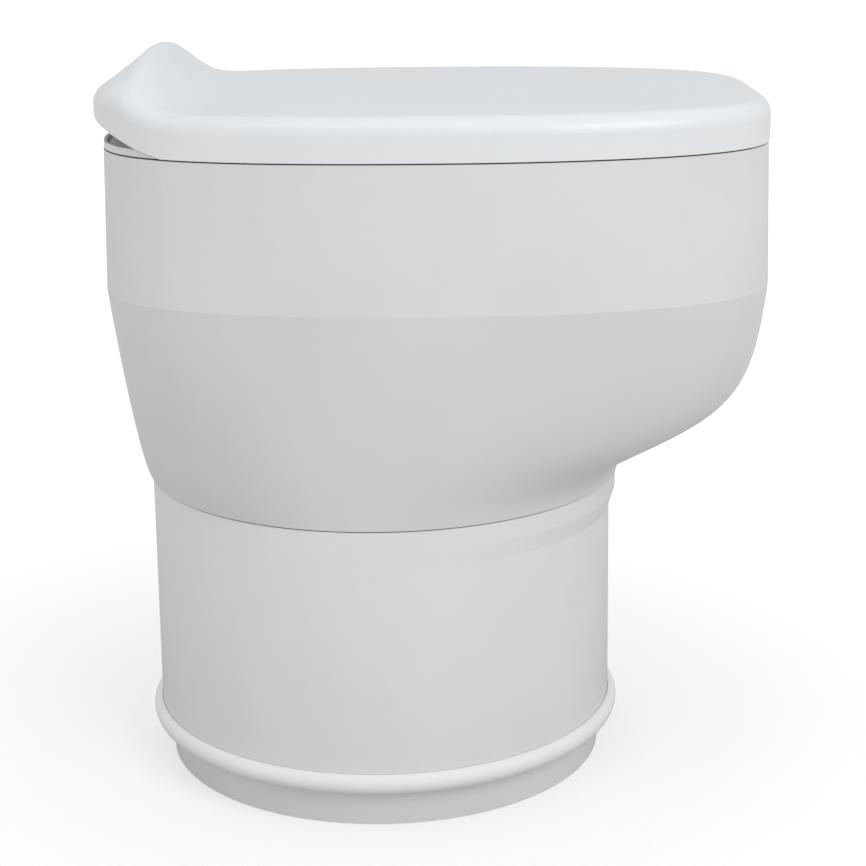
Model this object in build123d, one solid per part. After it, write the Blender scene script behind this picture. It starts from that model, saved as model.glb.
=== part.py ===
from build123d import *
import math
import os

# A waterless toilet: a pedestal over a drop chute, with a seat and a hooded lid.
# Sizes are in millimetres. The origin is the centre of the spigot's foot on the floor,
# +Z is up, the bowl's front is at -Y and the lid's hinge is at +Y.

# Rim of the housing in plan: a rounded oblong, squarer behind than in front
RIM_Z = 448.3
RIM_HALF_WIDTH = 184.0
RIM_FRONT = 263.3
RIM_REAR = 177.0
RIM_WIDEST_Y = -43.7
SIDE_POWER = 4.14
FRONT_POWER = 1.92
REAR_POWER = 2.57
OUTLINE_POINTS = 48
HOUSING_ARCS = 8

# Housing shell: a straight band, a crease, and a hull that narrows to the pedestal
CREASE_Z = 355.5
CREASE_FLARE = 2.5
HULL_EDGE_Z = 210.0
HULL_EDGE_HALF_WIDTH = 164.7
HULL_EDGE_FRONT = 169.5
HULL_EDGE_REAR = 165.2
BELLY_TURN = 0.268
BELLY_POWER = 2.88
REAR_LINE_POWER = 0.61
WIDEST_LINE_POWER = 1.5
HULL_STATIONS = (0.0, 0.07, 0.14, 0.2, 0.26, 0.32, 0.39, 0.46, 0.53, 0.61, 0.7, 0.85, 1.0)
HOUSING_WALL = 4.0
RIM_FLANGE = 14.0
RIM_FLANGE_THICK = 4.0
NECK_LENGTH = 20.0
NECK_WALL = 4.0

# Pedestal tube, with a lip that swells at the front under the hull
TUBE_WALL = 7.8
TUBE_TOP_RADIUS = 164.1
TUBE_FOOT_RADIUS = 165.1
TUBE_FOOT_Z = 34.0
LIP_FRONT = 168.3
LIP_START_Z = 184.0
LIP_FULL_Z = 196.0
NECK_SEAL_THICK = 0.8
NECK_SEAL_INSET = 0.8

# Chute spigot and the ring that carries the tube on it
SPIGOT_RADIUS = 157.5
SPIGOT_WALL = 5.0
SPIGOT_HEIGHT = 72.0
SPIGOT_SHOULDER = 1.5
RING_FOOT_Z = 25.7
RING_TOP_Z = 40.2
RING_BULGE_Z = 32.6
RING_FOOT_RADIUS = 163.8
RING_RADIUS = 171.2
PUSH_GAP = 0.3

# Bowl liner, hung in the housing by its flange
LINER_WALL = 3.0
LINER_FLANGE_GAP = 0.6
BOWL_HALF_WIDTH = 117.0
BOWL_FRONT = 185.0
BOWL_REAR = 93.0
BOWL_POWER = 2.2
OUTLET_RADIUS = 137.0
OUTLET_TOP_Z = 232.0
OUTLET_FOOT_Z = 204.0
LINER_SHARES = (0.0, 0.12, 0.5, 0.88, 1.0)

# Drop chute under the bowl liner, held on its outlet by a band clamp
CHUTE_WALL = 3.0
CHUTE_TOP_Z = 228.0
CHUTE_FOOT_Z = 24.0
BAND_FIT = 0.05
BAND_THICK = 1.2
BAND_FOOT_Z = 210.0
BAND_HEIGHT = 12.0
WORM_BOX = (7.0, 16.0, 9.0)
WORM_RADIUS = 2.6
WORM_LENGTH = 24.0

# Gasket under the deck's floor
LINER_GASKET_THICK = 1.5

# Rim deck: a frame on the rim, with a floor sunk inside it for the seat
DECK_GASKET_THICK = 1.0
DECK_GASKET_INSET = 1.2
DECK_PLATE_THICK = 4.5
DECK_INSET = 6.0
DECK_REAR_INSET = 0.4
DECK_REAR_Y = 143.0
DECK_RAMP_Y = 127.0
DECK_LIP = 1.8
CHANNEL_WIDTH = 5.0
CHANNEL_DEPTH = 3.0
WELL_INSET = 16.0
WELL_WALL = 1.5
WELL_REAR_Y = 122.0
FLOOR_THICK = 3.5

# Screws of the deck and the bosses that they bite
BOSS_INSET = 22.0
BOSS_RADIUS = 6.0
BOSS_HEIGHT = 45.0
RIB_THICK = 4.0
BOSS_TURNS = (28, -14, -50, -90, -130, -166, 152)
REAR_BOSS_TURNS = (62, 118)
SCREW_RADIUS = 2.0
SCREW_HEAD_RADIUS = 4.0
SCREW_HEAD_THICK = 2.0
SCREW_BITE = 16.0
SCREW_HOLE_GAP = 0.3
SCREW_HOLE_END = 2.0
RECESS_LIFT = 0.05
RECESS_LONG = 4.4
RECESS_WIDE = 0.9
RECESS_DEEP = 1.0

# Radial screws of the pedestal, driven from inside
WALL_SCREW_COUNT = 6
WALL_SCREW_HEAD_THICK = 1.8
NECK_SCREW_Z = 199.0
SPIGOT_SCREW_Z = 56.0
RING_SCREW_Z = 29.9
WALL_SCREW_COVER = 1.2
WALL_SCREW_FLAT = 0.2
RING_HOLE_COVER = 3.0
RING_SCREW_COVER = 4.0

# Hinge line and its blocks, pins and bushes
HINGE_Y = 159.0
HINGE_Z = 485.0
KNUCKLE_RADIUS = 8.5
KNUCKLE_ROOT_TURNS = (-148, 125)
KNUCKLE_CORE_TURNS = (-100, 80)
KNUCKLE_CORE_RADIUS = 3.0
PIN_RADIUS = 4.0
PIN_HEAD_RADIUS = 6.4
PIN_HEAD_THICK = 2.0
PIN_TAIL = 3.6
PIN_FIT = 0.02
BUSH_WALL = 2.0
RUNNING_GAP = 0.08
SIDE_GAP = 0.6
BLOCK_X = 46.0
BLOCK_WIDTH = 12.0
SEAT_KNUCKLE_WIDTH = 12.4
LID_KNUCKLE_WIDTH = 12.4
CLIP_THICK = 1.2
CLIP_RADIUS = 6.2
CLIP_GROOVE = 0.8
CLIP_MOUTH = 4.5
BLOCK_FRONT_Y = 124.5
BLOCK_REAR_Y = 145.0
BLOCK_NOSE = 7.0
BOLT_RADIUS = 2.5
BOLT_HEAD_RADIUS = 4.0
BOLT_HEAD_THICK = 3.2
BOLT_SEAT_THICK = 4.0
BOLT_END = 0.5
BOLT_YS = (130.0, 139.5)
NUT_RADIUS = 4.4
NUT_THICK = 3.6
WASHER_RADIUS = 4.6
WASHER_THICK = 1.0

# Seat ring
SEAT_INSET = 17.0
SEAT_REAR = 118.0
SEAT_LIFT = 3.0
SEAT_THICK = 18.0
SEAT_HOLE_HALF_WIDTH = 110.0
SEAT_HOLE_FRONT = 178.0
SEAT_HOLE_REAR = 82.0
SEAT_EDGE_ROUND = 6.5
SEAT_FOOT_ROUND = 2.0
ARM_ROOT = 12.0
ARM_RISE = 7.0
ARM_CRANK = 13.0
BUFFER_RADIUS = 7.0
BUFFER_GAP = 0.3
BUFFER_CHAMFER = 0.6
SEAT_BUFFER_TURNS = (25, -40, -140, 155)

# Lid: a shallow cover whose rear swells into an arched hood over the hinge
LID_WALL = 3.0
LID_OUTSET = 0.6
LID_REAR = 183.7
LID_REAR_SIDE_POWER = 3.65
LID_REAR_POWER = 2.65
LID_TOP_Z = 476.6
LID_EDGE_ROUND = 11.0
HOOD_RISE_Y = 116.5
HOOD_FRONT_SLOPE = 50.2
HOOD_BACK_Y = 188.7
HOOD_BACK_Z = 478.0
HOOD_BACK_SLOPE = 38.4
HOOD_VALLEY_BLEND = 17.7
HOOD_CREST_BLEND = 12.0
HOOD_ARCH = 12.1
HOOD_ARCH_WIDTH = 100.0
HOOD_HEIGHT = 30.0
HOOD_ARCH_SHARE = 1.2
LID_SECTION_XS = (-200, -150, -100, -50, 0, 50, 100, 150, 200)
LID_SECTION_STEPS = 26
SKIRT_GAP = 0.5
SKIRT_TAIL_Z = 471.0
NOTCH_Y = 160.5
LID_BUFFER_TURNS = (20, -45, -135, 160)

# Values that follow from the sizes above
SEAL_TOP_Z = HULL_EDGE_Z
TUBE_TOP_Z = HULL_EDGE_Z - NECK_SEAL_THICK
TUBE_BORE = TUBE_TOP_RADIUS - TUBE_WALL
NECK_RADIUS = TUBE_BORE - PUSH_GAP
DECK_FOOT_Z = RIM_Z + DECK_GASKET_THICK
DECK_TOP_Z = DECK_FOOT_Z + DECK_PLATE_THICK
FLOOR_TOP_Z = RIM_Z
FLOOR_FOOT_Z = FLOOR_TOP_Z - FLOOR_THICK
LINER_TOP_Z = FLOOR_FOOT_Z - LINER_GASKET_THICK
BOSS_TOP_Z = LINER_TOP_Z - LINER_WALL
LINER_FLANGE_INSET = RIM_FLANGE + LINER_FLANGE_GAP
SEAT_FOOT_Z = FLOOR_TOP_Z + SEAT_LIFT
SEAT_TOP_Z = SEAT_FOOT_Z + SEAT_THICK
LID_FOOT_Z = DECK_FOOT_Z
DECK_RAMP_SLOPE = DECK_PLATE_THICK / (DECK_REAR_Y - DECK_RAMP_Y)
BUSH_BORE = PIN_RADIUS + RUNNING_GAP
BUSH_RADIUS = PIN_RADIUS + BUSH_WALL
BIG = 1000.0
REACH = 25.0
NUDGE = 0.02


def signed_power(value, power):
    """The power of a value's size, with the value's sign."""
    return math.copysign(abs(value) ** power, value)


class Outline:
    """A closed plan outline, widest at one place, with its own curve in front and behind."""

    def __init__(
        self,
        half_width,
        front,
        rear,
        widest,
        side_power,
        front_power,
        rear_power,
        rear_side_power=None,
    ):
        self.half_width = half_width
        self.front = front
        self.rear = rear
        self.widest = widest
        self.side_power = side_power
        self.front_power = front_power
        self.rear_power = rear_power
        self.rear_side_power = rear_side_power or side_power

    def at(self, turn, inset=0.0):
        """The point at a turn in degrees from +X, moved inwards by the inset."""
        across = math.cos(math.radians(turn))
        along = math.sin(math.radians(turn))
        reach = self.rear - self.widest if along >= 0 else self.front + self.widest
        power = self.rear_power if along >= 0 else self.front_power
        side_power = self.rear_side_power if along >= 0 else self.side_power
        x = signed_power(across, 2 / side_power)
        y = signed_power(along, 2 / power)
        slope_x = signed_power(x, side_power - 1) * side_power / self.half_width
        slope_y = signed_power(y, power - 1) * power / reach
        steepness = math.hypot(slope_x, slope_y)
        return (
            x * self.half_width - inset * slope_x / steepness,
            y * reach + self.widest - inset * slope_y / steepness,
        )

    def point(self, turn, z, inset):
        """The point at a turn, at a height."""
        return Vector(*self.at(turn, inset), z)

    def arc(self, start, end, steps, z, inset):
        """One arc of the outline, which meets the next arc smoothly."""
        turns = [between(start, end, step / steps) for step in range(steps + 1)]
        tangents = []
        for turn in (start, end):
            after = self.point(turn + NUDGE, z, inset)
            tangents.append((after - self.point(turn - NUDGE, z, inset)).normalized())
        return Edge.make_spline([self.point(turn, z, inset) for turn in turns], tangents=tangents)

    def face(self, z, inset=0.0, arcs=1):
        """The outline as a flat face at a height, of one closed curve or of several arcs."""
        if arcs > 1:
            span = 360 / arcs
            steps = OUTLINE_POINTS // arcs
            edges = [self.arc(span * n, span * (n + 1), steps, z, inset) for n in range(arcs)]
            return Face(Wire(edges))
        turns = [360 * step / OUTLINE_POINTS for step in range(OUTLINE_POINTS)]
        points = [self.point(turn, z, inset) for turn in turns]
        return Face(Wire([Edge.make_spline(points, periodic=True)]))

    def block(self, low, high, inset=0.0):
        """The outline drawn up from one height to another."""
        return extrude(self.face(low, inset), amount=high - low, dir=(0, 0, 1))

    def moved_out(self, outset):
        """The same outline, larger by an even step."""
        return Outline(
            self.half_width + outset,
            self.front + outset,
            self.rear + outset,
            self.widest,
            self.side_power,
            self.front_power,
            self.rear_power,
        )


def between(start, end, share):
    """The value at a share of the way from one to another."""
    return start + (end - start) * share


RIM = Outline(
    RIM_HALF_WIDTH, RIM_FRONT, RIM_REAR, RIM_WIDEST_Y, SIDE_POWER, FRONT_POWER, REAR_POWER
)
CREASE = RIM.moved_out(CREASE_FLARE)
BOWL = Outline(
    BOWL_HALF_WIDTH, BOWL_FRONT, BOWL_REAR, RIM_WIDEST_Y, BOWL_POWER, BOWL_POWER, BOWL_POWER
)
SEAT = Outline(
    RIM_HALF_WIDTH - SEAT_INSET,
    RIM_FRONT - SEAT_INSET,
    SEAT_REAR,
    RIM_WIDEST_Y,
    SIDE_POWER,
    FRONT_POWER,
    REAR_POWER,
)
SEAT_HOLE = Outline(
    SEAT_HOLE_HALF_WIDTH,
    SEAT_HOLE_FRONT,
    SEAT_HOLE_REAR,
    RIM_WIDEST_Y,
    BOWL_POWER,
    BOWL_POWER,
    BOWL_POWER,
)
LID = Outline(
    RIM_HALF_WIDTH + LID_OUTSET,
    RIM_FRONT + LID_OUTSET,
    LID_REAR,
    RIM_WIDEST_Y,
    SIDE_POWER,
    FRONT_POWER,
    LID_REAR_POWER,
    LID_REAR_SIDE_POWER,
)


def round_outline(radius, front=None):
    """A circle, or a circle whose front half is drawn out."""
    return Outline(radius, front or radius, radius, 0.0, 2, 2, 2)


def ring(radius, bore, low, high):
    """A plain ring about the Z axis."""
    outer = Cylinder(radius, high - low, align=(Align.CENTER, Align.CENTER, Align.MIN))
    inner = Cylinder(bore, high - low, align=(Align.CENTER, Align.CENTER, Align.MIN))
    return Pos(0, 0, low) * (outer - inner)


def rod_z(x, y, radius, low, high):
    """An upright rod between two heights."""
    rod = Cylinder(radius, high - low, align=(Align.CENTER, Align.CENTER, Align.MIN))
    return Pos(x, y, low) * rod


def rod_x(radius, start, end):
    """A rod on the hinge line between two places along X."""
    rod = Cylinder(radius, end - start, align=(Align.CENTER, Align.CENTER, Align.MIN))
    return Pos(start, HINGE_Y, HINGE_Z) * Rot(0, 90, 0) * rod


def side_slab(points, start, end):
    """A flat shape, drawn as (y, z) points, drawn out along X between two places."""
    corners = [Vector(start, y, z) for y, z in points]
    face = Face(Wire.make_polygon(corners, close=True))
    return extrude(face, amount=end - start, dir=(1, 0, 0))


def joined(solids):
    """Solids fused into one."""
    total = solids[0]
    for solid in solids[1:]:
        total = total + solid
    return total


def write(name, shape):
    """Write one sub-part, as its separate solids."""
    solids = shape.solids()
    body = solids[0] if len(solids) == 1 else Compound(children=solids)
    export_step(body, f"parts/{name}.step")


# Housing


def hull_outline(z):
    """The housing's outline at a height between its lower edge and its crease."""
    up = (z - HULL_EDGE_Z) / (CREASE_Z - HULL_EDGE_Z)
    turn = BELLY_TURN ** BELLY_POWER
    belly = (1 + turn) * up ** BELLY_POWER / (turn + up ** BELLY_POWER)
    return Outline(
        between(HULL_EDGE_HALF_WIDTH, CREASE.half_width, up),
        between(HULL_EDGE_FRONT, CREASE.front, belly),
        between(HULL_EDGE_REAR, CREASE.rear, up ** REAR_LINE_POWER),
        between(0.0, RIM_WIDEST_Y, up ** WIDEST_LINE_POWER),
        between(2.0, SIDE_POWER, up),
        between(2.0, FRONT_POWER, up),
        between(2.0, REAR_POWER, up),
    )


def housing_skin(inset, lift):
    """The housing's form without its rim flange, inset and lifted to make the inside."""
    heights = [between(HULL_EDGE_Z, CREASE_Z, share) for share in HULL_STATIONS]
    hull = loft([hull_outline(z).face(z + lift, inset, HOUSING_ARCS) for z in heights])
    crease = CREASE.face(CREASE_Z + lift, inset, HOUSING_ARCS)
    band = loft([crease, RIM.face(RIM_Z, inset, HOUSING_ARCS)], ruled=True)
    return hull + band


def boss_rib(x, y, wall_x, wall_y, low, high):
    """A flat rib from a boss to the wall behind it."""
    length = math.hypot(wall_x - x, wall_y - y)
    angle = math.degrees(math.atan2(wall_y - y, wall_x - x))
    align = (Align.MIN, Align.CENTER, Align.MIN)
    return Pos(x, y, low) * Rot(0, 0, angle) * Box(length, RIB_THICK, high - low, align=align)


def screw_boss(turn):
    """A screw boss inside the rim, with its rib and its blind hole."""
    x, y = RIM.at(turn, BOSS_INSET)
    wall_x, wall_y = RIM.at(turn, HOUSING_WALL / 2)
    low = BOSS_TOP_Z - BOSS_HEIGHT
    boss = rod_z(x, y, BOSS_RADIUS, low, BOSS_TOP_Z)
    boss = boss + boss_rib(x, y, wall_x, wall_y, low, BOSS_TOP_Z)
    return boss - rod_z(x, y, SCREW_RADIUS, BOSS_TOP_Z - SCREW_BITE - SCREW_HOLE_END, BOSS_TOP_Z)


def housing():
    """The outer shell, with its rim flange, screw bosses and neck."""
    inside = housing_skin(HOUSING_WALL, HOUSING_WALL)
    flange_foot = RIM_Z - RIM_FLANGE_THICK
    inside = inside - Pos(0, 0, flange_foot) * Box(
        BIG, BIG, BIG, align=(Align.CENTER, Align.CENTER, Align.MIN)
    )
    inside = inside + RIM.block(flange_foot - 1, RIM_Z + 1, RIM_FLANGE)
    neck = rod_z(0, 0, NECK_RADIUS, HULL_EDGE_Z - NECK_LENGTH, HULL_EDGE_Z + HOUSING_WALL)
    neck_bore = rod_z(
        0, 0, NECK_RADIUS - NECK_WALL, HULL_EDGE_Z - NECK_LENGTH - 1, HULL_EDGE_Z + HOUSING_WALL + 1
    )
    neck = neck - neck_bore
    neck = neck - wall_screw_holes(NECK_SCREW_Z, NECK_RADIUS - NECK_WALL, SCREW_RADIUS)
    neck = neck - head_flats(NECK_SCREW_Z, NECK_RADIUS - NECK_WALL)
    shell = housing_skin(0.0, 0.0) - inside - neck_bore
    return shell + neck + joined([screw_boss(turn) for turn in BOSS_TURNS + REAR_BOSS_TURNS])


# Pedestal


def wall_screw_tip(outer):
    """How far out a radial screw reaches under a wall's outer face."""
    return outer - WALL_SCREW_COVER


def spoke(radius, start, end, z, turn):
    """A rod that points away from the Z axis at a height."""
    rod = Cylinder(radius, end - start, align=(Align.CENTER, Align.CENTER, Align.MIN))
    return Rot(0, 0, turn) * Pos(start, 0, z) * Rot(0, 90, 0) * rod


def wall_screw_holes(z, start, radius, end=None):
    """Radial holes round the pedestal at a height."""
    end = end or wall_screw_tip(TUBE_TOP_RADIUS)
    step = 360 / WALL_SCREW_COUNT
    return joined(
        [spoke(radius, start - 1, end, z, step * (turn + 0.5)) for turn in range(WALL_SCREW_COUNT)]
    )


def wall_screws(z, seat_radius, end=None):
    """Radial screws round the pedestal, with their heads inside."""
    end = end or wall_screw_tip(TUBE_TOP_RADIUS)
    step = 360 / WALL_SCREW_COUNT
    screws = []
    for number in range(WALL_SCREW_COUNT):
        turn = step * (number + 0.5)
        head_start = seat_radius - WALL_SCREW_HEAD_THICK
        shank = spoke(SCREW_RADIUS, seat_radius, end, z, turn)
        head = spoke(SCREW_HEAD_RADIUS, head_start, seat_radius, z, turn)
        slot = Box(RECESS_DEEP, RECESS_LONG, RECESS_WIDE)
        slot = slot + Box(RECESS_DEEP, RECESS_WIDE, RECESS_LONG)
        slot = Rot(0, 0, turn) * Pos(head_start + RECESS_DEEP / 2 - RECESS_LIFT, 0, z) * slot
        screws.append(head + shank - slot)
    return Compound(children=[solid for screw in screws for solid in screw.solids()])


def head_flats(z, bore):
    """Flat seats for the radial screws' heads, cut in a round bore."""
    radius = SCREW_HEAD_RADIUS + SCREW_HOLE_GAP
    return wall_screw_holes(z, bore, radius, bore + WALL_SCREW_FLAT)


def tube():
    """The pedestal tube, swelling to a lip at the front of its top."""
    sections = [
        round_outline(TUBE_FOOT_RADIUS).face(TUBE_FOOT_Z),
        round_outline(TUBE_TOP_RADIUS).face(LIP_START_Z),
        round_outline(TUBE_TOP_RADIUS, LIP_FRONT).face(LIP_FULL_Z),
        round_outline(TUBE_TOP_RADIUS, LIP_FRONT).face(TUBE_TOP_Z),
    ]
    body = loft(sections, ruled=True)
    body = body - rod_z(0, 0, TUBE_BORE, TUBE_FOOT_Z - 1, TUBE_TOP_Z + 1)
    for z in (NECK_SCREW_Z, SPIGOT_SCREW_Z):
        body = body - wall_screw_holes(z, TUBE_BORE, SCREW_RADIUS)
    return body


def neck_seal():
    """The thin rubber ring between the tube's top and the housing."""
    outer = round_outline(TUBE_TOP_RADIUS, LIP_FRONT).block(TUBE_TOP_Z, SEAL_TOP_Z, NECK_SEAL_INSET)
    return outer - rod_z(0, 0, TUBE_BORE, TUBE_TOP_Z - 1, SEAL_TOP_Z + 1)


def foot_ring():
    """The rounded ring that stands the tube on the spigot."""
    bore = SPIGOT_RADIUS - SPIGOT_SHOULDER + PUSH_GAP
    socket = TUBE_FOOT_RADIUS + PUSH_GAP
    foot = Vector(RING_FOOT_RADIUS, 0, RING_FOOT_Z)
    bulge = Vector(RING_RADIUS, 0, RING_BULGE_Z)
    top = Vector(socket + 1, 0, RING_TOP_Z)
    corners = [
        top,
        Vector(socket, 0, RING_TOP_Z),
        Vector(socket, 0, TUBE_FOOT_Z),
        Vector(bore, 0, TUBE_FOOT_Z),
        Vector(bore, 0, RING_FOOT_Z),
        foot,
    ]
    edges = [Edge.make_three_point_arc(foot, bulge, top)]
    edges += [Edge.make_line(a, b) for a, b in zip(corners, corners[1:])]
    body = revolve(Face(Wire(edges)), axis=Axis.Z, revolution_arc=360)
    return body - wall_screw_holes(RING_SCREW_Z, bore, SCREW_RADIUS, RING_RADIUS - RING_HOLE_COVER)


def spigot():
    """The drop chute's spigot, with a shoulder for the ring over its plug end."""
    bore = SPIGOT_RADIUS - SPIGOT_WALL
    body = ring(SPIGOT_RADIUS, bore, 0.0, RING_FOOT_Z)
    body = body + ring(SPIGOT_RADIUS - SPIGOT_SHOULDER, bore, RING_FOOT_Z, SPIGOT_HEIGHT)
    for z in (SPIGOT_SCREW_Z, RING_SCREW_Z):
        body = body - wall_screw_holes(z, bore, SCREW_RADIUS, SPIGOT_RADIUS + 1)
        body = body - head_flats(z, bore)
    return body


# Bowl liner, deck and their gaskets


def liner_outline(share):
    """The bowl's outline at a share of the way down to its round outlet."""
    return Outline(
        between(BOWL_HALF_WIDTH, OUTLET_RADIUS, share),
        between(BOWL_FRONT, OUTLET_RADIUS, share),
        between(BOWL_REAR, OUTLET_RADIUS, share),
        between(RIM_WIDEST_Y, 0.0, share),
        between(BOWL_POWER, 2.0, share),
        between(BOWL_POWER, 2.0, share),
        between(BOWL_POWER, 2.0, share),
    )


def liner_form(outset):
    """The bowl and its outlet as one solid form."""
    faces = []
    for number, share in enumerate(LINER_SHARES):
        z = between(LINER_TOP_Z, OUTLET_TOP_Z, number / (len(LINER_SHARES) - 1))
        faces.append(liner_outline(share).face(z, -outset))
    return loft(faces) + liner_outline(1.0).block(OUTLET_FOOT_Z, OUTLET_TOP_Z, -outset)


def boss_places(turns):
    """Where the deck's screws stand, for some turns round the rim."""
    return [RIM.at(turn, BOSS_INSET) for turn in turns]


def screw_holes(low, high):
    """Clearance holes for all the deck's screws."""
    radius = SCREW_RADIUS + SCREW_HOLE_GAP
    places = boss_places(BOSS_TURNS + REAR_BOSS_TURNS)
    return joined([rod_z(x, y, radius, low, high) for x, y in places])


def liner():
    """The bowl liner, with the flange that hangs it in the housing."""
    flange = RIM.block(BOSS_TOP_Z, LINER_TOP_Z, LINER_FLANGE_INSET)
    flange = flange - screw_holes(BOSS_TOP_Z - 1, LINER_TOP_Z + 1)
    return flange + liner_form(LINER_WALL) - liner_form(0.0)


def chute_bore():
    """The drop chute's bore, which slides up over the liner's outlet."""
    return OUTLET_RADIUS + LINER_WALL + PUSH_GAP


def drop_chute():
    """The straight tube from the liner's outlet down into the spigot."""
    return ring(chute_bore() + CHUTE_WALL, chute_bore(), CHUTE_FOOT_Z, CHUTE_TOP_Z)


def chute_band():
    """The band clamp round the chute's top, with its worm box and screw."""
    bore = chute_bore() + CHUTE_WALL + BAND_FIT
    body = ring(bore + BAND_THICK, bore, BAND_FOOT_Z, BAND_FOOT_Z + BAND_HEIGHT)
    middle = Pos(bore + WORM_BOX[0] / 2 + BAND_THICK / 2, 0, BAND_FOOT_Z + BAND_HEIGHT / 2)
    worm = Cylinder(WORM_RADIUS, WORM_LENGTH, rotation=(90, 0, 0))
    return body + middle * Box(*WORM_BOX) + middle * worm


def well_block(low, high, inset):
    """The deck's sunken well, which stops in front of the hinge."""
    form = RIM.block(low, high, inset)
    stop = WELL_REAR_Y + WELL_INSET - inset
    cut = Pos(0, stop, low) * Box(BIG, BIG, BIG, align=(Align.CENTER, Align.MIN, Align.CENTER))
    return form - cut


def liner_gasket():
    """The flat gasket between the liner's flange and the deck's floor."""
    inset = WELL_INSET - WELL_WALL
    body = well_block(LINER_TOP_Z, FLOOR_FOOT_Z, inset)
    body = body - BOWL.block(LINER_TOP_Z - 1, FLOOR_FOOT_Z + 1)
    return body - screw_holes(LINER_TOP_Z - 1, FLOOR_FOOT_Z + 1)


def deck_gasket():
    """The dark gasket between the housing's rim and the deck."""
    body = RIM.block(RIM_Z, DECK_FOOT_Z, DECK_GASKET_INSET)
    return body - RIM.block(RIM_Z - 1, DECK_FOOT_Z + 1, RIM_FLANGE - 1)


def deck_ramp():
    """The space above the ramp at each end of the plinth, and in front of it."""
    profile = [
        (-BIG, DECK_FOOT_Z - 1),
        (DECK_RAMP_Y - 1 / DECK_RAMP_SLOPE, DECK_FOOT_Z - 1),
        (DECK_REAR_Y + 1 / DECK_RAMP_SLOPE, DECK_TOP_Z + 1),
        (-BIG, DECK_TOP_Z + 1),
    ]
    return side_slab(profile, -BIG / 2, BIG / 2)


def deck_channel():
    """The channel behind the plinth's lip, under the lid's rear edge."""
    floor = DECK_TOP_Z - CHANNEL_DEPTH
    outer = DECK_REAR_INSET + DECK_LIP
    channel = RIM.block(floor, DECK_TOP_Z + 1, outer)
    channel = channel - RIM.block(floor - 1, DECK_TOP_Z + 2, outer + CHANNEL_WIDTH)
    front = Pos(0, DECK_REAR_Y, floor) * Box(
        BIG, BIG, BIG, align=(Align.CENTER, Align.MAX, Align.CENTER)
    )
    return channel - front


def deck():
    """The rim deck: frame, sunken floor and the plinth under the hinge."""
    plate = RIM.block(DECK_FOOT_Z, DECK_TOP_Z, DECK_INSET)
    plinth = RIM.block(DECK_FOOT_Z, DECK_TOP_Z, DECK_REAR_INSET)
    body = plate + (plinth - deck_ramp()) - deck_channel()
    body = body + well_block(FLOOR_FOOT_Z, DECK_FOOT_Z + 1, WELL_INSET - WELL_WALL)
    body = body - well_block(FLOOR_TOP_Z, DECK_TOP_Z + 1, WELL_INSET)
    posts = [
        rod_z(x, y, BOSS_RADIUS, LINER_TOP_Z, DECK_FOOT_Z + 1)
        for x, y in boss_places(REAR_BOSS_TURNS)
    ]
    hole = BOLT_RADIUS + SCREW_HOLE_GAP
    bolt_holes = [
        rod_z(side * BLOCK_X, y, hole, DECK_FOOT_Z - 1, DECK_TOP_Z + 1)
        for side in (-1, 1)
        for y in BOLT_YS
    ]
    body = body + joined(posts) - BOWL.block(FLOOR_FOOT_Z - 1, DECK_TOP_Z + 1)
    return body - (screw_holes(LINER_TOP_Z - 1, DECK_TOP_Z + 1) + joined(bolt_holes))


def upright_screw(x, y, seat, tip):
    """A pan-head screw that stands upright."""
    head = rod_z(x, y, SCREW_HEAD_RADIUS, seat, seat + SCREW_HEAD_THICK)
    shank = rod_z(x, y, SCREW_RADIUS, tip, seat)
    cross = Box(RECESS_LONG, RECESS_WIDE, RECESS_DEEP) + Box(RECESS_WIDE, RECESS_LONG, RECESS_DEEP)
    cross = Pos(x, y, seat + SCREW_HEAD_THICK - RECESS_DEEP / 2 + RECESS_LIFT) * cross
    return head + shank - cross


def upright_screws(turns, seat):
    """The deck's screws at some turns round the rim."""
    tip = BOSS_TOP_Z - SCREW_BITE
    screws = [upright_screw(x, y, seat, tip) for x, y in boss_places(turns)]
    return Compound(children=[solid for screw in screws for solid in screw.solids()])


# Hinge, in the order from the middle outwards: clip, seat knuckle, block, lid knuckle, head

BLOCK_IN = BLOCK_X - BLOCK_WIDTH / 2
BLOCK_OUT = BLOCK_X + BLOCK_WIDTH / 2
SEAT_KNUCKLE_OUT = BLOCK_IN - SIDE_GAP
SEAT_KNUCKLE_IN = SEAT_KNUCKLE_OUT - SEAT_KNUCKLE_WIDTH
LID_KNUCKLE_IN = BLOCK_OUT + SIDE_GAP
LID_KNUCKLE_OUT = LID_KNUCKLE_IN + LID_KNUCKLE_WIDTH
CLIP_OUT = SEAT_KNUCKLE_IN - SIDE_GAP
PIN_HEAD_IN = LID_KNUCKLE_OUT + SIDE_GAP


def mirrored(solid, side):
    """A solid as drawn at +X, or its twin at -X."""
    return solid if side > 0 else mirror(solid, about=Plane.YZ)


def on_knuckle(angle, radius=KNUCKLE_RADIUS):
    """A (y, z) point on a circle about the hinge line, at an angle from +Y."""
    turn = math.radians(angle)
    return (HINGE_Y + radius * math.cos(turn), HINGE_Z + radius * math.sin(turn))


def knuckle_root():
    """Where a block or an arm runs into its knuckle, in front of the pin."""
    low, high = KNUCKLE_ROOT_TURNS
    core_low, core_high = KNUCKLE_CORE_TURNS
    return [
        on_knuckle(low),
        on_knuckle(core_low, KNUCKLE_CORE_RADIUS),
        on_knuckle(core_high, KNUCKLE_CORE_RADIUS),
        on_knuckle(high),
    ]


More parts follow.
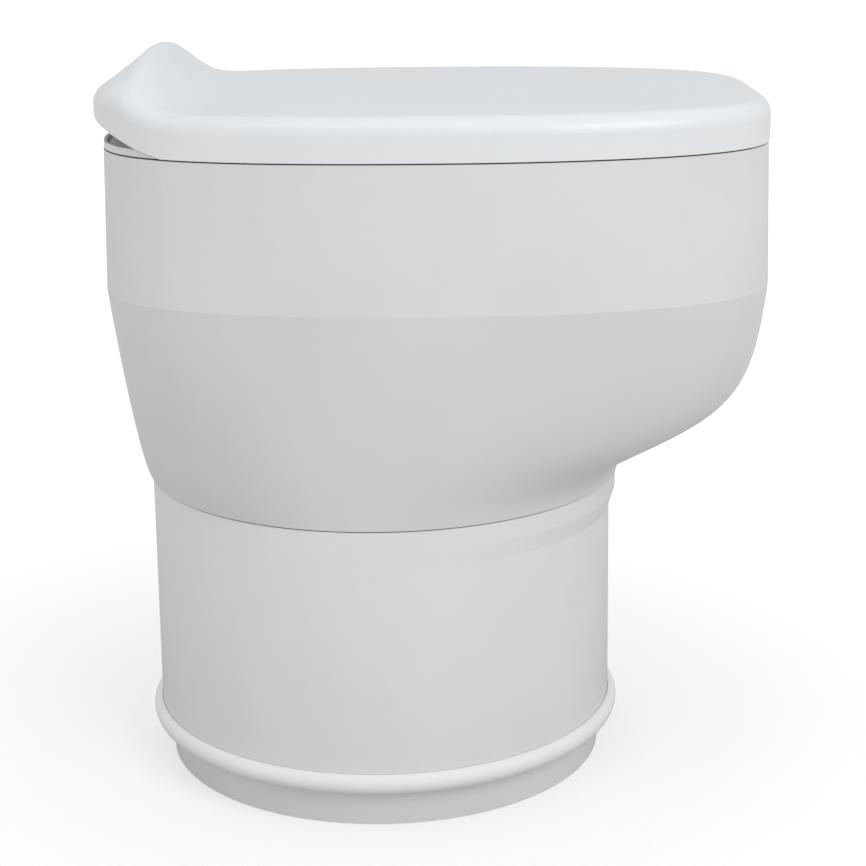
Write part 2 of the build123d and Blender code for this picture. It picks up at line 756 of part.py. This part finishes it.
def hinge_block(side):
    """A block bolted on the deck, with the ear that holds the hinge pin."""
    profile = [
        (BLOCK_FRONT_Y, DECK_TOP_Z),
        (BLOCK_REAR_Y, DECK_TOP_Z),
        *knuckle_root(),
        (BLOCK_FRONT_Y, DECK_TOP_Z + BLOCK_NOSE),
    ]
    body = side_slab(profile, BLOCK_IN, BLOCK_OUT) + rod_x(KNUCKLE_RADIUS, BLOCK_IN, BLOCK_OUT)
    body = body - rod_x(PIN_RADIUS + PIN_FIT, BLOCK_IN - 1, BLOCK_OUT + 1)
    for y in BOLT_YS:
        seat = DECK_TOP_Z + BOLT_SEAT_THICK
        body = body - rod_z(BLOCK_X, y, BOLT_RADIUS + SCREW_HOLE_GAP, DECK_TOP_Z - 1, seat + 1)
        body = body - rod_z(BLOCK_X, y, BOLT_HEAD_RADIUS + SCREW_HOLE_GAP, seat, HINGE_Z + 20)
    return mirrored(body, side)


def hinge_pin(side):
    """The pin, with a head outside and a groove for its clip inside."""
    tail = CLIP_OUT - CLIP_THICK - PIN_TAIL
    body = rod_x(PIN_RADIUS, tail, PIN_HEAD_IN)
    body = body + rod_x(PIN_HEAD_RADIUS, PIN_HEAD_IN, PIN_HEAD_IN + PIN_HEAD_THICK)
    groove = rod_x(PIN_RADIUS + 1, CLIP_OUT - CLIP_THICK, CLIP_OUT)
    groove = groove - rod_x(PIN_RADIUS - CLIP_GROOVE, CLIP_OUT - CLIP_THICK, CLIP_OUT)
    return mirrored(body - groove, side)


def retaining_clip(side):
    """The spring clip in the pin's groove, open on one side."""
    body = rod_x(CLIP_RADIUS, CLIP_OUT - CLIP_THICK, CLIP_OUT)
    body = body - rod_x(PIN_RADIUS - CLIP_GROOVE, CLIP_OUT - CLIP_THICK, CLIP_OUT)
    mouth = Box(4 * CLIP_THICK, CLIP_MOUTH, 2 * CLIP_RADIUS)
    gap = Pos(CLIP_OUT, HINGE_Y, HINGE_Z + CLIP_RADIUS) * mouth
    return mirrored(body - gap, side)


def bush(start, end, side):
    """A plain bush on the pin."""
    return mirrored(rod_x(BUSH_RADIUS, start, end) - rod_x(BUSH_BORE, start, end), side)


def bolt_row(make):
    """One fastener at each bolt of both blocks."""
    solids = []
    for side in (-1, 1):
        for y in BOLT_YS:
            solids += make(side * BLOCK_X, y).solids()
    return Compound(children=solids)


def hinge_bolt(x, y):
    """A socket-head bolt down through the block and the deck."""
    seat = DECK_TOP_Z + BOLT_SEAT_THICK
    foot = DECK_FOOT_Z - WASHER_THICK - NUT_THICK - BOLT_END
    body = rod_z(x, y, BOLT_RADIUS, foot, seat)
    body = body + rod_z(x, y, BOLT_HEAD_RADIUS, seat, seat + BOLT_HEAD_THICK)
    socket = extrude(RegularPolygon(BOLT_RADIUS, 6), amount=BOLT_HEAD_THICK)
    return body - Pos(x, y, seat + BOLT_HEAD_THICK / 3) * socket


def hinge_washer(x, y):
    """A washer under the deck."""
    hole = BOLT_RADIUS + SCREW_HOLE_GAP
    low = DECK_FOOT_Z - WASHER_THICK
    return rod_z(x, y, WASHER_RADIUS, low, DECK_FOOT_Z) - rod_z(x, y, hole, low, DECK_FOOT_Z)


def hinge_nut(x, y):
    """A six-sided nut under its washer."""
    top = DECK_FOOT_Z - WASHER_THICK
    body = Pos(x, y, top - NUT_THICK) * extrude(RegularPolygon(NUT_RADIUS, 6), amount=NUT_THICK)
    return body - rod_z(x, y, BOLT_RADIUS + PIN_FIT, top - NUT_THICK, top)


# Seat


def seat_arm(side):
    """The arm that rises from the ring's rear to its knuckle."""
    profile = [
        (SEAT_REAR - ARM_ROOT, SEAT_FOOT_Z + ARM_RISE),
        (SEAT_REAR + ARM_RISE, SEAT_FOOT_Z + ARM_RISE),
        (HINGE_Y - ARM_CRANK, HINGE_Z - ARM_CRANK / 2),
        *knuckle_root(),
        (SEAT_REAR + ARM_ROOT, SEAT_TOP_Z + ARM_RISE / 2),
        (SEAT_REAR - ARM_ROOT, SEAT_TOP_Z - ARM_RISE / 2),
    ]
    arm = side_slab(profile, SEAT_KNUCKLE_IN, SEAT_KNUCKLE_OUT)
    arm = arm + rod_x(KNUCKLE_RADIUS, SEAT_KNUCKLE_IN, SEAT_KNUCKLE_OUT)
    bore = rod_x(BUSH_RADIUS + PIN_FIT, SEAT_KNUCKLE_IN - 1, SEAT_KNUCKLE_OUT + 1)
    return mirrored(arm, side), mirrored(bore, side)


def seat():
    """The seat ring, rounded on top, with its two hinge arms."""
    body = SEAT.block(SEAT_FOOT_Z, SEAT_TOP_Z) - SEAT_HOLE.block(SEAT_FOOT_Z - 1, SEAT_TOP_Z + 1)
    top_edges = body.edges().group_by(Axis.Z)[-1]
    body = fillet(top_edges, SEAT_EDGE_ROUND)
    foot_edges = body.edges().group_by(Axis.Z)[0]
    body = fillet(foot_edges, SEAT_FOOT_ROUND)
    for side in (-1, 1):
        arm, bore = seat_arm(side)
        body = body + arm - bore
    return body


def buffer_places(turns):
    """The middle of the seat's land at some turns round it."""
    places = []
    for turn in turns:
        x_out, y_out = SEAT.at(turn)
        x_in, y_in = SEAT_HOLE.at(turn)
        places.append(((x_out + x_in) / 2, (y_out + y_in) / 2))
    return places


def buffers(turns, low, high):
    """Round rubber buffers with a softened foot."""
    solids = []
    for x, y in buffer_places(turns):
        pad = rod_z(x, y, BUFFER_RADIUS, low, high)
        solids += chamfer(pad.edges().group_by(Axis.Z)[0], BUFFER_CHAMFER).solids()
    return Compound(children=solids)


# Lid


def soft_low(a, b, blend):
    """The lower of two heights, with the corner between them rounded off."""
    share = min(max(0.5 + 0.5 * (b - a) / blend, 0.0), 1.0)
    return between(b, a, share) - blend * share * (1 - share)


def soft_high(a, b, blend):
    """The higher of two heights, with the corner between them rounded off."""
    return -soft_low(-a, -b, blend)


def lid_top(x, y):
    """The height of the lid's top: flat, then an arched hump over the hinge."""
    front = LID_TOP_Z + (y - HOOD_RISE_Y) * math.tan(math.radians(HOOD_FRONT_SLOPE))
    back = HOOD_BACK_Z + (HOOD_BACK_Y - y) * math.tan(math.radians(HOOD_BACK_SLOPE))
    hump = soft_low(front, back, HOOD_CREST_BLEND)
    top = soft_high(LID_TOP_Z, hump, HOOD_VALLEY_BLEND)
    share = min(max((top - LID_TOP_Z) / HOOD_HEIGHT, 0.0), HOOD_ARCH_SHARE)
    return top - HOOD_ARCH * (x / HOOD_ARCH_WIDTH) ** 2 * share


def lid_surface(x, y, depth):
    """The height of the lid's top, or of a surface at an even depth under it."""
    slope = (lid_top(x, y + NUDGE) - lid_top(x, y - NUDGE)) / (2 * NUDGE)
    return lid_top(x, y) - depth * math.hypot(1, slope)


def above_lid(depth):
    """All the space above the lid's top, or above its underside."""
    start = HOOD_RISE_Y - 2 * HOOD_VALLEY_BLEND
    end = LID_REAR + REACH
    front = -LID.front - REACH
    ceiling = HOOD_BACK_Z + 2 * HOOD_HEIGHT
    shares = [step / LID_SECTION_STEPS for step in range(LID_SECTION_STEPS + 1)]
    ys = [between(start, end, share) for share in shares]
    sections = []
    for x in LID_SECTION_XS:
        points = [Vector(x, y, lid_surface(x, y, depth)) for y in ys]
        corners = [
            points[-1],
            Vector(x, end, ceiling),
            Vector(x, front, ceiling),
            Vector(x, front, points[0].Z),
            points[0],
        ]
        edges = [Edge.make_spline(points)]
        edges += [Edge.make_line(a, b) for a, b in zip(corners, corners[1:])]
        sections.append(Face(Wire(edges)))
    return loft(sections)


def lid_form(inset, depth, rounding):
    """The lid's form, inset by a wall, with its top edge rounded."""
    form = LID.block(LID_FOOT_Z - REACH, HOOD_BACK_Z + REACH + HOOD_HEIGHT, inset)
    form = form - above_lid(depth)
    low = LID_FOOT_Z + LID_EDGE_ROUND
    edges = form.edges().filter_by(lambda edge: edge.position_at(0.5).Z > low)
    return fillet(edges, rounding)


def lid_knuckle(side):
    """The web under the hood that holds the lid on its pin."""
    profile = [
        on_knuckle(180),
        (HINGE_Y - KNUCKLE_RADIUS, HINGE_Z + HOOD_HEIGHT),
        (HINGE_Y + KNUCKLE_RADIUS, HINGE_Z + HOOD_HEIGHT),
        on_knuckle(0),
    ]
    web = side_slab(profile, LID_KNUCKLE_IN, LID_KNUCKLE_OUT)
    web = web + rod_x(KNUCKLE_RADIUS, LID_KNUCKLE_IN, LID_KNUCKLE_OUT)
    bore = rod_x(BUSH_RADIUS + PIN_FIT, LID_KNUCKLE_IN - 1, LID_KNUCKLE_OUT + 1)
    return mirrored(web, side), mirrored(bore, side)


def below_skirt():
    """The space under the lid's lower edge, which rises towards the rear."""
    front = -LID.front - REACH
    rear = LID.rear
    foot = LID_FOOT_Z - 2 * REACH
    profile = [
        (front, foot),
        (front, LID_FOOT_Z),
        (DECK_RAMP_Y - SKIRT_GAP / DECK_RAMP_SLOPE, LID_FOOT_Z),
        (DECK_REAR_Y, DECK_TOP_Z + SKIRT_GAP),
        (rear, SKIRT_TAIL_Z),
        (rear + REACH, SKIRT_TAIL_Z),
        (rear + REACH, foot),
    ]
    return side_slab(profile, -BIG / 2, BIG / 2)


def lid():
    """The hooded lid: a thin shell with two knuckles and a notch for each block."""
    outer = lid_form(0.0, 0.0, LID_EDGE_ROUND)
    inner = lid_form(LID_WALL, LID_WALL, LID_EDGE_ROUND - LID_WALL)
    webs = []
    notches = []
    for side in (-1, 1):
        web, bore = lid_knuckle(side)
        webs.append(web - bore)
        align = (Align.CENTER, Align.MIN, Align.CENTER)
        notch = Box(BLOCK_WIDTH + 2 * SIDE_GAP, 2 * REACH, 3 * REACH, align=align)
        notches.append(Pos(side * BLOCK_X, NOTCH_Y, HINGE_Z) * notch)
    shell = outer - inner - below_skirt() - joined(notches)
    webs = joined(webs) - above_lid(LID_WALL / 2)
    return shell + webs


os.makedirs("parts", exist_ok=True)

write("outer_housing", housing())
write("pedestal_tube", tube())
write("neck_seal", neck_seal())
write("foot_ring", foot_ring())
write("chute_spigot", spigot())
write("neck_screws", wall_screws(NECK_SCREW_Z, NECK_RADIUS - NECK_WALL))
write("spigot_screws", wall_screws(SPIGOT_SCREW_Z, SPIGOT_RADIUS - SPIGOT_WALL))
ring_screw_tip = RING_RADIUS - RING_SCREW_COVER
write("ring_screws", wall_screws(RING_SCREW_Z, SPIGOT_RADIUS - SPIGOT_WALL, ring_screw_tip))
write("bowl_liner", liner())
write("drop_chute", drop_chute())
write("chute_band", chute_band())
write("liner_gasket", liner_gasket())
write("deck_gasket", deck_gasket())
write("rim_deck", deck())
write("deck_screws", upright_screws(BOSS_TURNS, FLOOR_TOP_Z))
write("rear_deck_screws", upright_screws(REAR_BOSS_TURNS, DECK_TOP_Z))
write("hinge_bolts", bolt_row(hinge_bolt))
write("hinge_washers", bolt_row(hinge_washer))
write("hinge_nuts", bolt_row(hinge_nut))
for side, hand in ((-1, "left"), (1, "right")):
    write(f"hinge_block_{hand}", hinge_block(side))
    write(f"hinge_pin_{hand}", hinge_pin(side))
    write(f"retaining_clip_{hand}", retaining_clip(side))
    write(f"seat_bush_{hand}", bush(SEAT_KNUCKLE_IN, SEAT_KNUCKLE_OUT, side))
    write(f"lid_bush_{hand}", bush(LID_KNUCKLE_IN, LID_KNUCKLE_OUT, side))
write("seat", seat())
write("seat_buffers", buffers(SEAT_BUFFER_TURNS, FLOOR_TOP_Z + BUFFER_GAP, SEAT_FOOT_Z))
write("lid", lid())
write("lid_buffers", buffers(LID_BUFFER_TURNS, SEAT_TOP_Z + BUFFER_GAP, LID_TOP_Z - LID_WALL))
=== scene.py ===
import math

import bmesh
import bpy
from mathutils import Matrix, Vector

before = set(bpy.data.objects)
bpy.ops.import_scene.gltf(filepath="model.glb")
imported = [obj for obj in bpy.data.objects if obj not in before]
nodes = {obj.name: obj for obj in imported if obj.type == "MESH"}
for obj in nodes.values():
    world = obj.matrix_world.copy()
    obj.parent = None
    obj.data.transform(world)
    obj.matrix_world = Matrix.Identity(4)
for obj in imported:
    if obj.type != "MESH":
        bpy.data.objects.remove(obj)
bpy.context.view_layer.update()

# Lengths are in metres and angles in radians, in the CAD's own frame.

# Camera: the photograph's view, from the toilet's left side and a little above
FOCAL_PIXELS = 1947.2
IMAGE_PIXELS = 866
SENSOR = 36.0
PITCH_DOWN = 0.270
ROLL = -0.011
YAW = 0.025
EYE = Vector((-1.3536, -0.0712, 0.6052))

# Noises are (scale per metre, detail, roughness), and most of a noise lies between these two
NOISE_LOW = 0.3
NOISE_HIGH = 0.7

# The sockets of Blender's Mix node that carry colours
MIX_FIRST = 6
MIX_SECOND = 7
MIX_RESULT = 2

# Moulded plastic: mottled colour, flow marks that run upright, and hazy gloss with scratches
MOTTLE = (9.0, 4.0, 0.55)
MOTTLE_DARK_AT = 0.36
MOTTLE_LIGHT_AT = 0.64
FLOW = (26.0, 3.0, 0.6)
FLOW_STRETCH = (1.0, 1.0, 0.25)
FLOW_TINT = 1.02
FLOW_SHARE = 0.35
HAZE = (55.0, 5.0, 0.65)
HAZE_SPREAD = 0.05
SCRATCH = (420.0, 2.0, 0.5)
SCRATCH_STRETCH = (1.0, 0.12, 1.0)
SCRATCH_SHARE = 0.4
SCRATCH_START = 0.62
SCRATCH_END = 0.72
SWELL = (22.0, 1.0, 0.4)
SWELL_DEPTH = 0.00025
GRAIN = (1800.0, 1.0, 0.5)
GRAIN_DEPTH = 0.00002
PLASTIC_BUMP = 0.25
PLASTIC_IOR = 1.5
COAT_ROUGHNESS = 0.32

# The lid's gloss is evener and smoother than the other plastics'
LID_SPREAD = 0.008
LID_SWELL_DEPTH = 0.00002
LID_GRAIN_DEPTH = 0.000002

# Rubber: a dusty bloom over a fine grain
BLOOM = (70.0, 5.0, 0.6)
BLOOM_DARK_AT = 0.35
BLOOM_LIGHT_AT = 0.7
BLOOM_SPREAD = 0.08
RUBBER_GRAIN = (1500.0, 3.0, 0.6)
RUBBER_BUMP = 0.5
RUBBER_DEPTH = 0.00008

# Steel: faint stains, and tool marks round the X axis
STAIN = (90.0, 4.0, 0.6)
STEEL_DARK = (0.50, 0.50, 0.49)
STEEL_LIGHT = (0.64, 0.64, 0.63)
STEEL_SMOOTH = 0.22
STEEL_ROUGH = 0.38
TURNED = (900.0, 2.0, 0.5)
TURNED_STRETCH = (0.1, 1.0, 1.0)
TURNED_BUMP = 0.3
TURNED_DEPTH = 0.00003

# Floor and sweep: a flat round floor that curves up into a wall
FLOOR_Z = 0.0
FLOOR_INNER = 1.0
SWEEP_REACH = 3.2
SWEEP_HEIGHT = 3.0
SWEEP_RADIUS = 1.0
SWEEP_STEPS = 12
SWEEP_SIDES = 96

# Floor paper, which glows less near the toilet as a painted shadow round its foot, and less for
# the light it throws back
PAPER = (300.0, 3.0, 0.6)
PAPER_DARK = (0.46, 0.46, 0.46)
PAPER_LIGHT = (0.50, 0.50, 0.50)
PAPER_SMOOTH = 0.85
PAPER_ROUGH = 0.95
PAPER_SPECULAR = 0.2
FLOOR_GLOW = 0.78
# The glow seen near the toilet is lower: a painted shadow round its foot
FLOOR_GLOW_PAINTED_SHADOW = 0.52
BOUNCE_GLOW = 0.30
BOUNCE_GLOW_NEAR = 0.02
POOL_START = 0.25
POOL_END = 1.00

# Area lights: (name, place, size, power in watts, colour), all aimed at the toilet's middle
MIDDLE = (0, 0, 0.28)
AREA_LIGHTS = (
    ("overhead", (-0.9, 0.2, 2.1), (1.8, 0.35), 3.6, (0.70, 0.84, 1.0)),
    ("key", (-1.85, -1.55, 1.75), (1.5, 1.5), 20.5, (0.99, 0.985, 0.985)),
    ("fill", (-1.7, 1.7, 0.5), (1.2, 1.2), 3.1, (1.0, 0.91, 0.83)),
)
WORLD_COLOUR = (0.94, 0.97, 1.0, 1.0)
WORLD_STRENGTH = 0.88


class Material:
    """A node material in the making, with short ways to add nodes and links."""

    def __init__(self, name):
        self.data = bpy.data.materials.new(name)
        self.data.use_nodes = True
        self.tree = self.data.node_tree
        self.shader = self.tree.nodes["Principled BSDF"]
        self.place = self.add("ShaderNodeTexCoord").outputs["Object"]

    def add(self, kind, **values):
        """A new node, with some of its settings."""
        node = self.tree.nodes.new(kind)
        for name, value in values.items():
            setattr(node, name, value)
        return node

    def link(self, start, end):
        """A link from an output to an input."""
        self.tree.links.new(start, end)

    def noise(self, kind, stretch=None):
        """Noise over the object's own space."""
        node = self.add("ShaderNodeTexNoise")
        scale, detail, roughness = kind
        node.inputs["Scale"].default_value = scale
        node.inputs["Detail"].default_value = detail
        node.inputs["Roughness"].default_value = roughness
        place = self.place
        if stretch:
            mapping = self.add("ShaderNodeMapping")
            mapping.inputs["Scale"].default_value = stretch
            self.link(place, mapping.inputs["Vector"])
            place = mapping.outputs["Vector"]
        self.link(place, node.inputs["Vector"])
        return node.outputs["Fac"]

    def remap(self, value, low, high, start=NOISE_LOW, end=NOISE_HIGH):
        """A value moved from one range to another."""
        node = self.add("ShaderNodeMapRange")
        node.inputs["From Min"].default_value = start
        node.inputs["From Max"].default_value = end
        node.inputs["To Min"].default_value = low
        node.inputs["To Max"].default_value = high
        self.link(value, node.inputs["Value"])
        return node.outputs["Result"]

    def ramp(self, value, first, second):
        """A value turned into a colour, between two stops of (place, colour)."""
        node = self.add("ShaderNodeValToRGB")
        for element, (place, colour) in zip(node.color_ramp.elements, (first, second)):
            element.position = place
            element.color = (*colour, 1.0)
        self.link(value, node.inputs["Fac"])
        return node.outputs["Color"]

    def tint(self, share, colour, hint):
        """A linked colour, moved towards a fixed one by a share."""
        node = self.add("ShaderNodeMix", data_type="RGBA")
        self.link(share, node.inputs["Factor"])
        self.link(colour, node.inputs[MIX_FIRST])
        node.inputs[MIX_SECOND].default_value = (*hint, 1.0)
        return node.outputs[MIX_RESULT]

    def bump(self, *heights):
        """Bumps on each other: (height, strength, depth)."""
        normal = None
        for height, strength, depth in heights:
            node = self.add("ShaderNodeBump")
            node.inputs["Strength"].default_value = strength
            node.inputs["Distance"].default_value = depth
            self.link(height, node.inputs["Height"])
            if normal:
                self.link(normal, node.inputs["Normal"])
            normal = node.outputs["Normal"]
        self.link(normal, self.shader.inputs["Normal"])


def plastic(
    name,
    light,
    dark,
    rough,
    spread=HAZE_SPREAD,
    coat=0.0,
    grain=GRAIN_DEPTH,
    swell=SWELL_DEPTH,
):
    """Moulded plastic: faint mottling, flow marks, fine grain and a little wear in its gloss."""
    made = Material(name)
    mottle = made.noise(MOTTLE)
    flow = made.noise(FLOW, FLOW_STRETCH)
    colour = made.ramp(mottle, (MOTTLE_DARK_AT, dark), (MOTTLE_LIGHT_AT, light))
    hint = tuple(min(1.0, channel * FLOW_TINT) for channel in light)
    colour = made.tint(made.remap(flow, 0.0, FLOW_SHARE), colour, hint)
    made.link(colour, made.shader.inputs["Base Color"])
    haze = made.noise(HAZE)
    scratch = made.noise(SCRATCH, SCRATCH_STRETCH)
    base = made.remap(haze, rough - spread, rough + spread)
    marks = made.remap(scratch, 0.0, SCRATCH_SHARE * spread, SCRATCH_START, SCRATCH_END)
    total = made.add("ShaderNodeMath", operation="ADD")
    made.link(base, total.inputs[0])
    made.link(marks, total.inputs[1])
    made.link(total.outputs[0], made.shader.inputs["Roughness"])
    made.bump((made.noise(SWELL), PLASTIC_BUMP, swell), (made.noise(GRAIN), PLASTIC_BUMP, grain))
    made.shader.inputs["IOR"].default_value = PLASTIC_IOR
    made.shader.inputs["Coat Weight"].default_value = coat
    made.shader.inputs["Coat Roughness"].default_value = COAT_ROUGHNESS
    return made.data


def rubber(name, light, dark, rough):
    """Soft moulded rubber with a dusty bloom."""
    made = Material(name)
    bloom = made.noise(BLOOM)
    colour = made.ramp(bloom, (BLOOM_DARK_AT, dark), (BLOOM_LIGHT_AT, light))
    made.link(colour, made.shader.inputs["Base Color"])
    haze = made.remap(bloom, rough - BLOOM_SPREAD, rough + BLOOM_SPREAD)
    made.link(haze, made.shader.inputs["Roughness"])
    made.bump((made.noise(RUBBER_GRAIN), RUBBER_BUMP, RUBBER_DEPTH))
    return made.data


def steel(name):
    """Plain turned stainless steel with fine tool marks."""
    made = Material(name)
    turned = made.noise(TURNED, TURNED_STRETCH)
    stain = made.noise(STAIN)
    colour = made.ramp(stain, (NOISE_LOW, STEEL_DARK), (NOISE_HIGH, STEEL_LIGHT))
    made.link(colour, made.shader.inputs["Base Color"])
    made.link(made.remap(stain, STEEL_SMOOTH, STEEL_ROUGH), made.shader.inputs["Roughness"])
    made.shader.inputs["Metallic"].default_value = 1.0
    made.bump((turned, TURNED_BUMP, TURNED_DEPTH))
    return made.data


def dress(material, *names):
    """Gives a material to CAD nodes."""
    for name in names:
        mesh = nodes[name].data
        mesh.materials.clear()
        mesh.materials.append(material)


def dress_nodes():
    """Gives every CAD node its material."""
    dress(
        plastic("housing_plastic", (0.710, 0.702, 0.698), (0.680, 0.670, 0.666), 0.42),
        "outer_housing",
    )
    dress(
        plastic("tube_plastic", (0.765, 0.764, 0.767), (0.738, 0.737, 0.740), 0.36),
        "pedestal_tube",
    )
    dress(
        plastic("ring_plastic", (0.838, 0.834, 0.840), (0.813, 0.809, 0.815), 0.60),
        "foot_ring",
    )
    dress(
        plastic("spigot_plastic", (0.800, 0.800, 0.795), (0.760, 0.760, 0.755), 0.40),
        "chute_spigot",
    )
    dress(
        plastic("liner_plastic", (0.70, 0.71, 0.72), (0.66, 0.67, 0.68), 0.25),
        "bowl_liner",
        "drop_chute",
    )
    dress(
        plastic("deck_plastic", (0.70, 0.70, 0.70), (0.66, 0.66, 0.66), 0.35),
        "rim_deck",
    )
    dress(
        plastic("seat_plastic", (0.72, 0.73, 0.74), (0.69, 0.70, 0.71), 0.22, coat=0.2),
        "seat",
    )
    dress(
        plastic(
            "lid_plastic",
            (0.765, 0.775, 0.780),
            (0.745, 0.756, 0.762),
            0.36,
            spread=LID_SPREAD,
            coat=0.6,
            grain=LID_GRAIN_DEPTH,
            swell=LID_SWELL_DEPTH,
        ),
        "lid",
    )
    dress(
        plastic("hinge_plastic", (0.62, 0.62, 0.61), (0.56, 0.56, 0.55), 0.45),
        "hinge_block_left",
        "hinge_block_right",
    )
    dress(
        plastic("bush_plastic", (0.48, 0.48, 0.46), (0.42, 0.42, 0.41), 0.40),
        "seat_bush_left",
        "seat_bush_right",
        "lid_bush_left",
        "lid_bush_right",
    )
    # Near-black seal rubber, whose darkness also stands in for painted shade in the thin dark
    # seams at the housing's lower edge and under the rim deck
    dress(
        rubber("dark_rubber", (0.045, 0.045, 0.048), (0.025, 0.025, 0.027), 0.62),
        "neck_seal",
        "liner_gasket",
        "deck_gasket",
    )
    dress(
        rubber("pad_rubber", (0.42, 0.42, 0.43), (0.34, 0.34, 0.35), 0.60),
        "seat_buffers",
        "lid_buffers",
    )
    dress(
        steel("steel"),
        "chute_band",
        "neck_screws",
        "spigot_screws",
        "ring_screws",
        "deck_screws",
        "rear_deck_screws",
        "hinge_bolts",
        "hinge_washers",
        "hinge_nuts",
        "hinge_pin_left",
        "hinge_pin_right",
        "retaining_clip_left",
        "retaining_clip_right",
    )


def make_camera():
    """The camera, from its pitch, yaw and roll."""
    turn = Matrix.Rotation(YAW, 3, "Z")
    ahead = turn @ Vector((math.cos(PITCH_DOWN), 0, -math.sin(PITCH_DOWN)))
    up = turn @ Vector((math.sin(PITCH_DOWN), 0, math.cos(PITCH_DOWN)))
    right = turn @ Vector((0, -1, 0))
    rolled_right = right * math.cos(ROLL) + up * math.sin(ROLL)
    rolled_up = up * math.cos(ROLL) - right * math.sin(ROLL)
    data = bpy.data.cameras.new("camera")
    data.sensor_width = SENSOR
    data.lens = FOCAL_PIXELS * SENSOR / IMAGE_PIXELS
    camera = bpy.data.objects.new("camera", data)
    axes = Matrix((rolled_right, rolled_up, -ahead)).transposed()
    camera.matrix_world = Matrix.Translation(EYE) @ axes.to_4x4()
    bpy.context.scene.collection.objects.link(camera)
    bpy.context.scene.camera = camera


def stage_mesh():
    """The mesh of a round floor that curves up into a wall all round."""
    profile = [(FLOOR_INNER, FLOOR_Z), (SWEEP_REACH - SWEEP_RADIUS, FLOOR_Z)]
    for step in range(1, SWEEP_STEPS + 1):
        turn = math.pi / 2 * step / SWEEP_STEPS
        reach = SWEEP_REACH - SWEEP_RADIUS + SWEEP_RADIUS * math.sin(turn)
        profile.append((reach, FLOOR_Z + SWEEP_RADIUS * (1 - math.cos(turn))))
    profile.append((SWEEP_REACH, SWEEP_HEIGHT))
    mesh = bmesh.new()
    loops = []
    for reach, z in profile:
        loop = []
        for side in range(SWEEP_SIDES):
            turn = 2 * math.pi * side / SWEEP_SIDES
            loop.append(mesh.verts.new((reach * math.cos(turn), reach * math.sin(turn), z)))
        loops.append(loop)
    mesh.faces.new(loops[0])
    for low, high in zip(loops, loops[1:]):
        for side in range(SWEEP_SIDES):
            after = (side + 1) % SWEEP_SIDES
            mesh.faces.new((low[after], low[side], high[side], high[after]))
    data = bpy.data.meshes.new("floor")
    mesh.to_mesh(data)
    mesh.free()
    for face in data.polygons:
        face.use_smooth = True
    return data


def floor_paper():
    """Pale paper that glows a little, and less near the toilet, so that the toilet stands in a
    faint pool of painted shadow.
    """
    made = Material("floor_paper")
    grain = made.noise(PAPER)
    colour = made.ramp(grain, (NOISE_LOW, PAPER_DARK), (NOISE_HIGH, PAPER_LIGHT))
    made.link(colour, made.shader.inputs["Base Color"])
    made.link(made.remap(grain, PAPER_SMOOTH, PAPER_ROUGH), made.shader.inputs["Roughness"])
    made.shader.inputs["Specular IOR Level"].default_value = PAPER_SPECULAR
    made.shader.inputs["Emission Color"].default_value = (1.0, 1.0, 1.0, 1.0)
    length = made.add("ShaderNodeVectorMath", operation="LENGTH")
    made.link(made.place, length.inputs[0])
    away = length.outputs["Value"]
    # Painted shadow: the glow that the camera sees drops near the toilet, a painted pool of
    # shade round its foot
    seen_glow_with_painted_shadow = made.remap(away, FLOOR_GLOW_PAINTED_SHADOW, FLOOR_GLOW, POOL_START, POOL_END)
    bounced = made.remap(away, BOUNCE_GLOW_NEAR, BOUNCE_GLOW, POOL_START, POOL_END)
    glow = made.add("ShaderNodeMix", data_type="FLOAT")
    made.link(made.add("ShaderNodeLightPath").outputs["Is Camera Ray"], glow.inputs["Factor"])
    made.link(bounced, glow.inputs["A"])
    made.link(seen_glow_with_painted_shadow, glow.inputs["B"])
    made.link(glow.outputs["Result"], made.shader.inputs["Emission Strength"])
    return made.data


def make_stage():
    """The pale floor and its wall, which aren't part of the toilet."""
    data = stage_mesh()
    floor = bpy.data.objects.new("floor", data)
    bpy.context.scene.collection.objects.link(floor)
    data.materials.append(floor_paper())


def make_lights():
    """Soft studio light: a blue box overhead, a high key from the front, a weak fill."""
    for name, place, size, power, colour in AREA_LIGHTS:
        data = bpy.data.lights.new(name, "AREA")
        data.shape = "RECTANGLE"
        data.size, data.size_y = size
        data.energy = power
        data.color = colour
        light = bpy.data.objects.new(name, data)
        light.location = place
        aim = Vector(MIDDLE) - Vector(place)
        light.rotation_euler = aim.to_track_quat("-Z", "Y").to_euler()
        bpy.context.scene.collection.objects.link(light)
    world = bpy.data.worlds.new("studio")
    world.use_nodes = True
    shade = world.node_tree.nodes["Background"]
    shade.inputs["Color"].default_value = WORLD_COLOUR
    shade.inputs["Strength"].default_value = WORLD_STRENGTH
    bpy.context.scene.world = world


dress_nodes()
bpy.context.scene.view_settings.view_transform = "Standard"
make_camera()
make_stage()
make_lights()
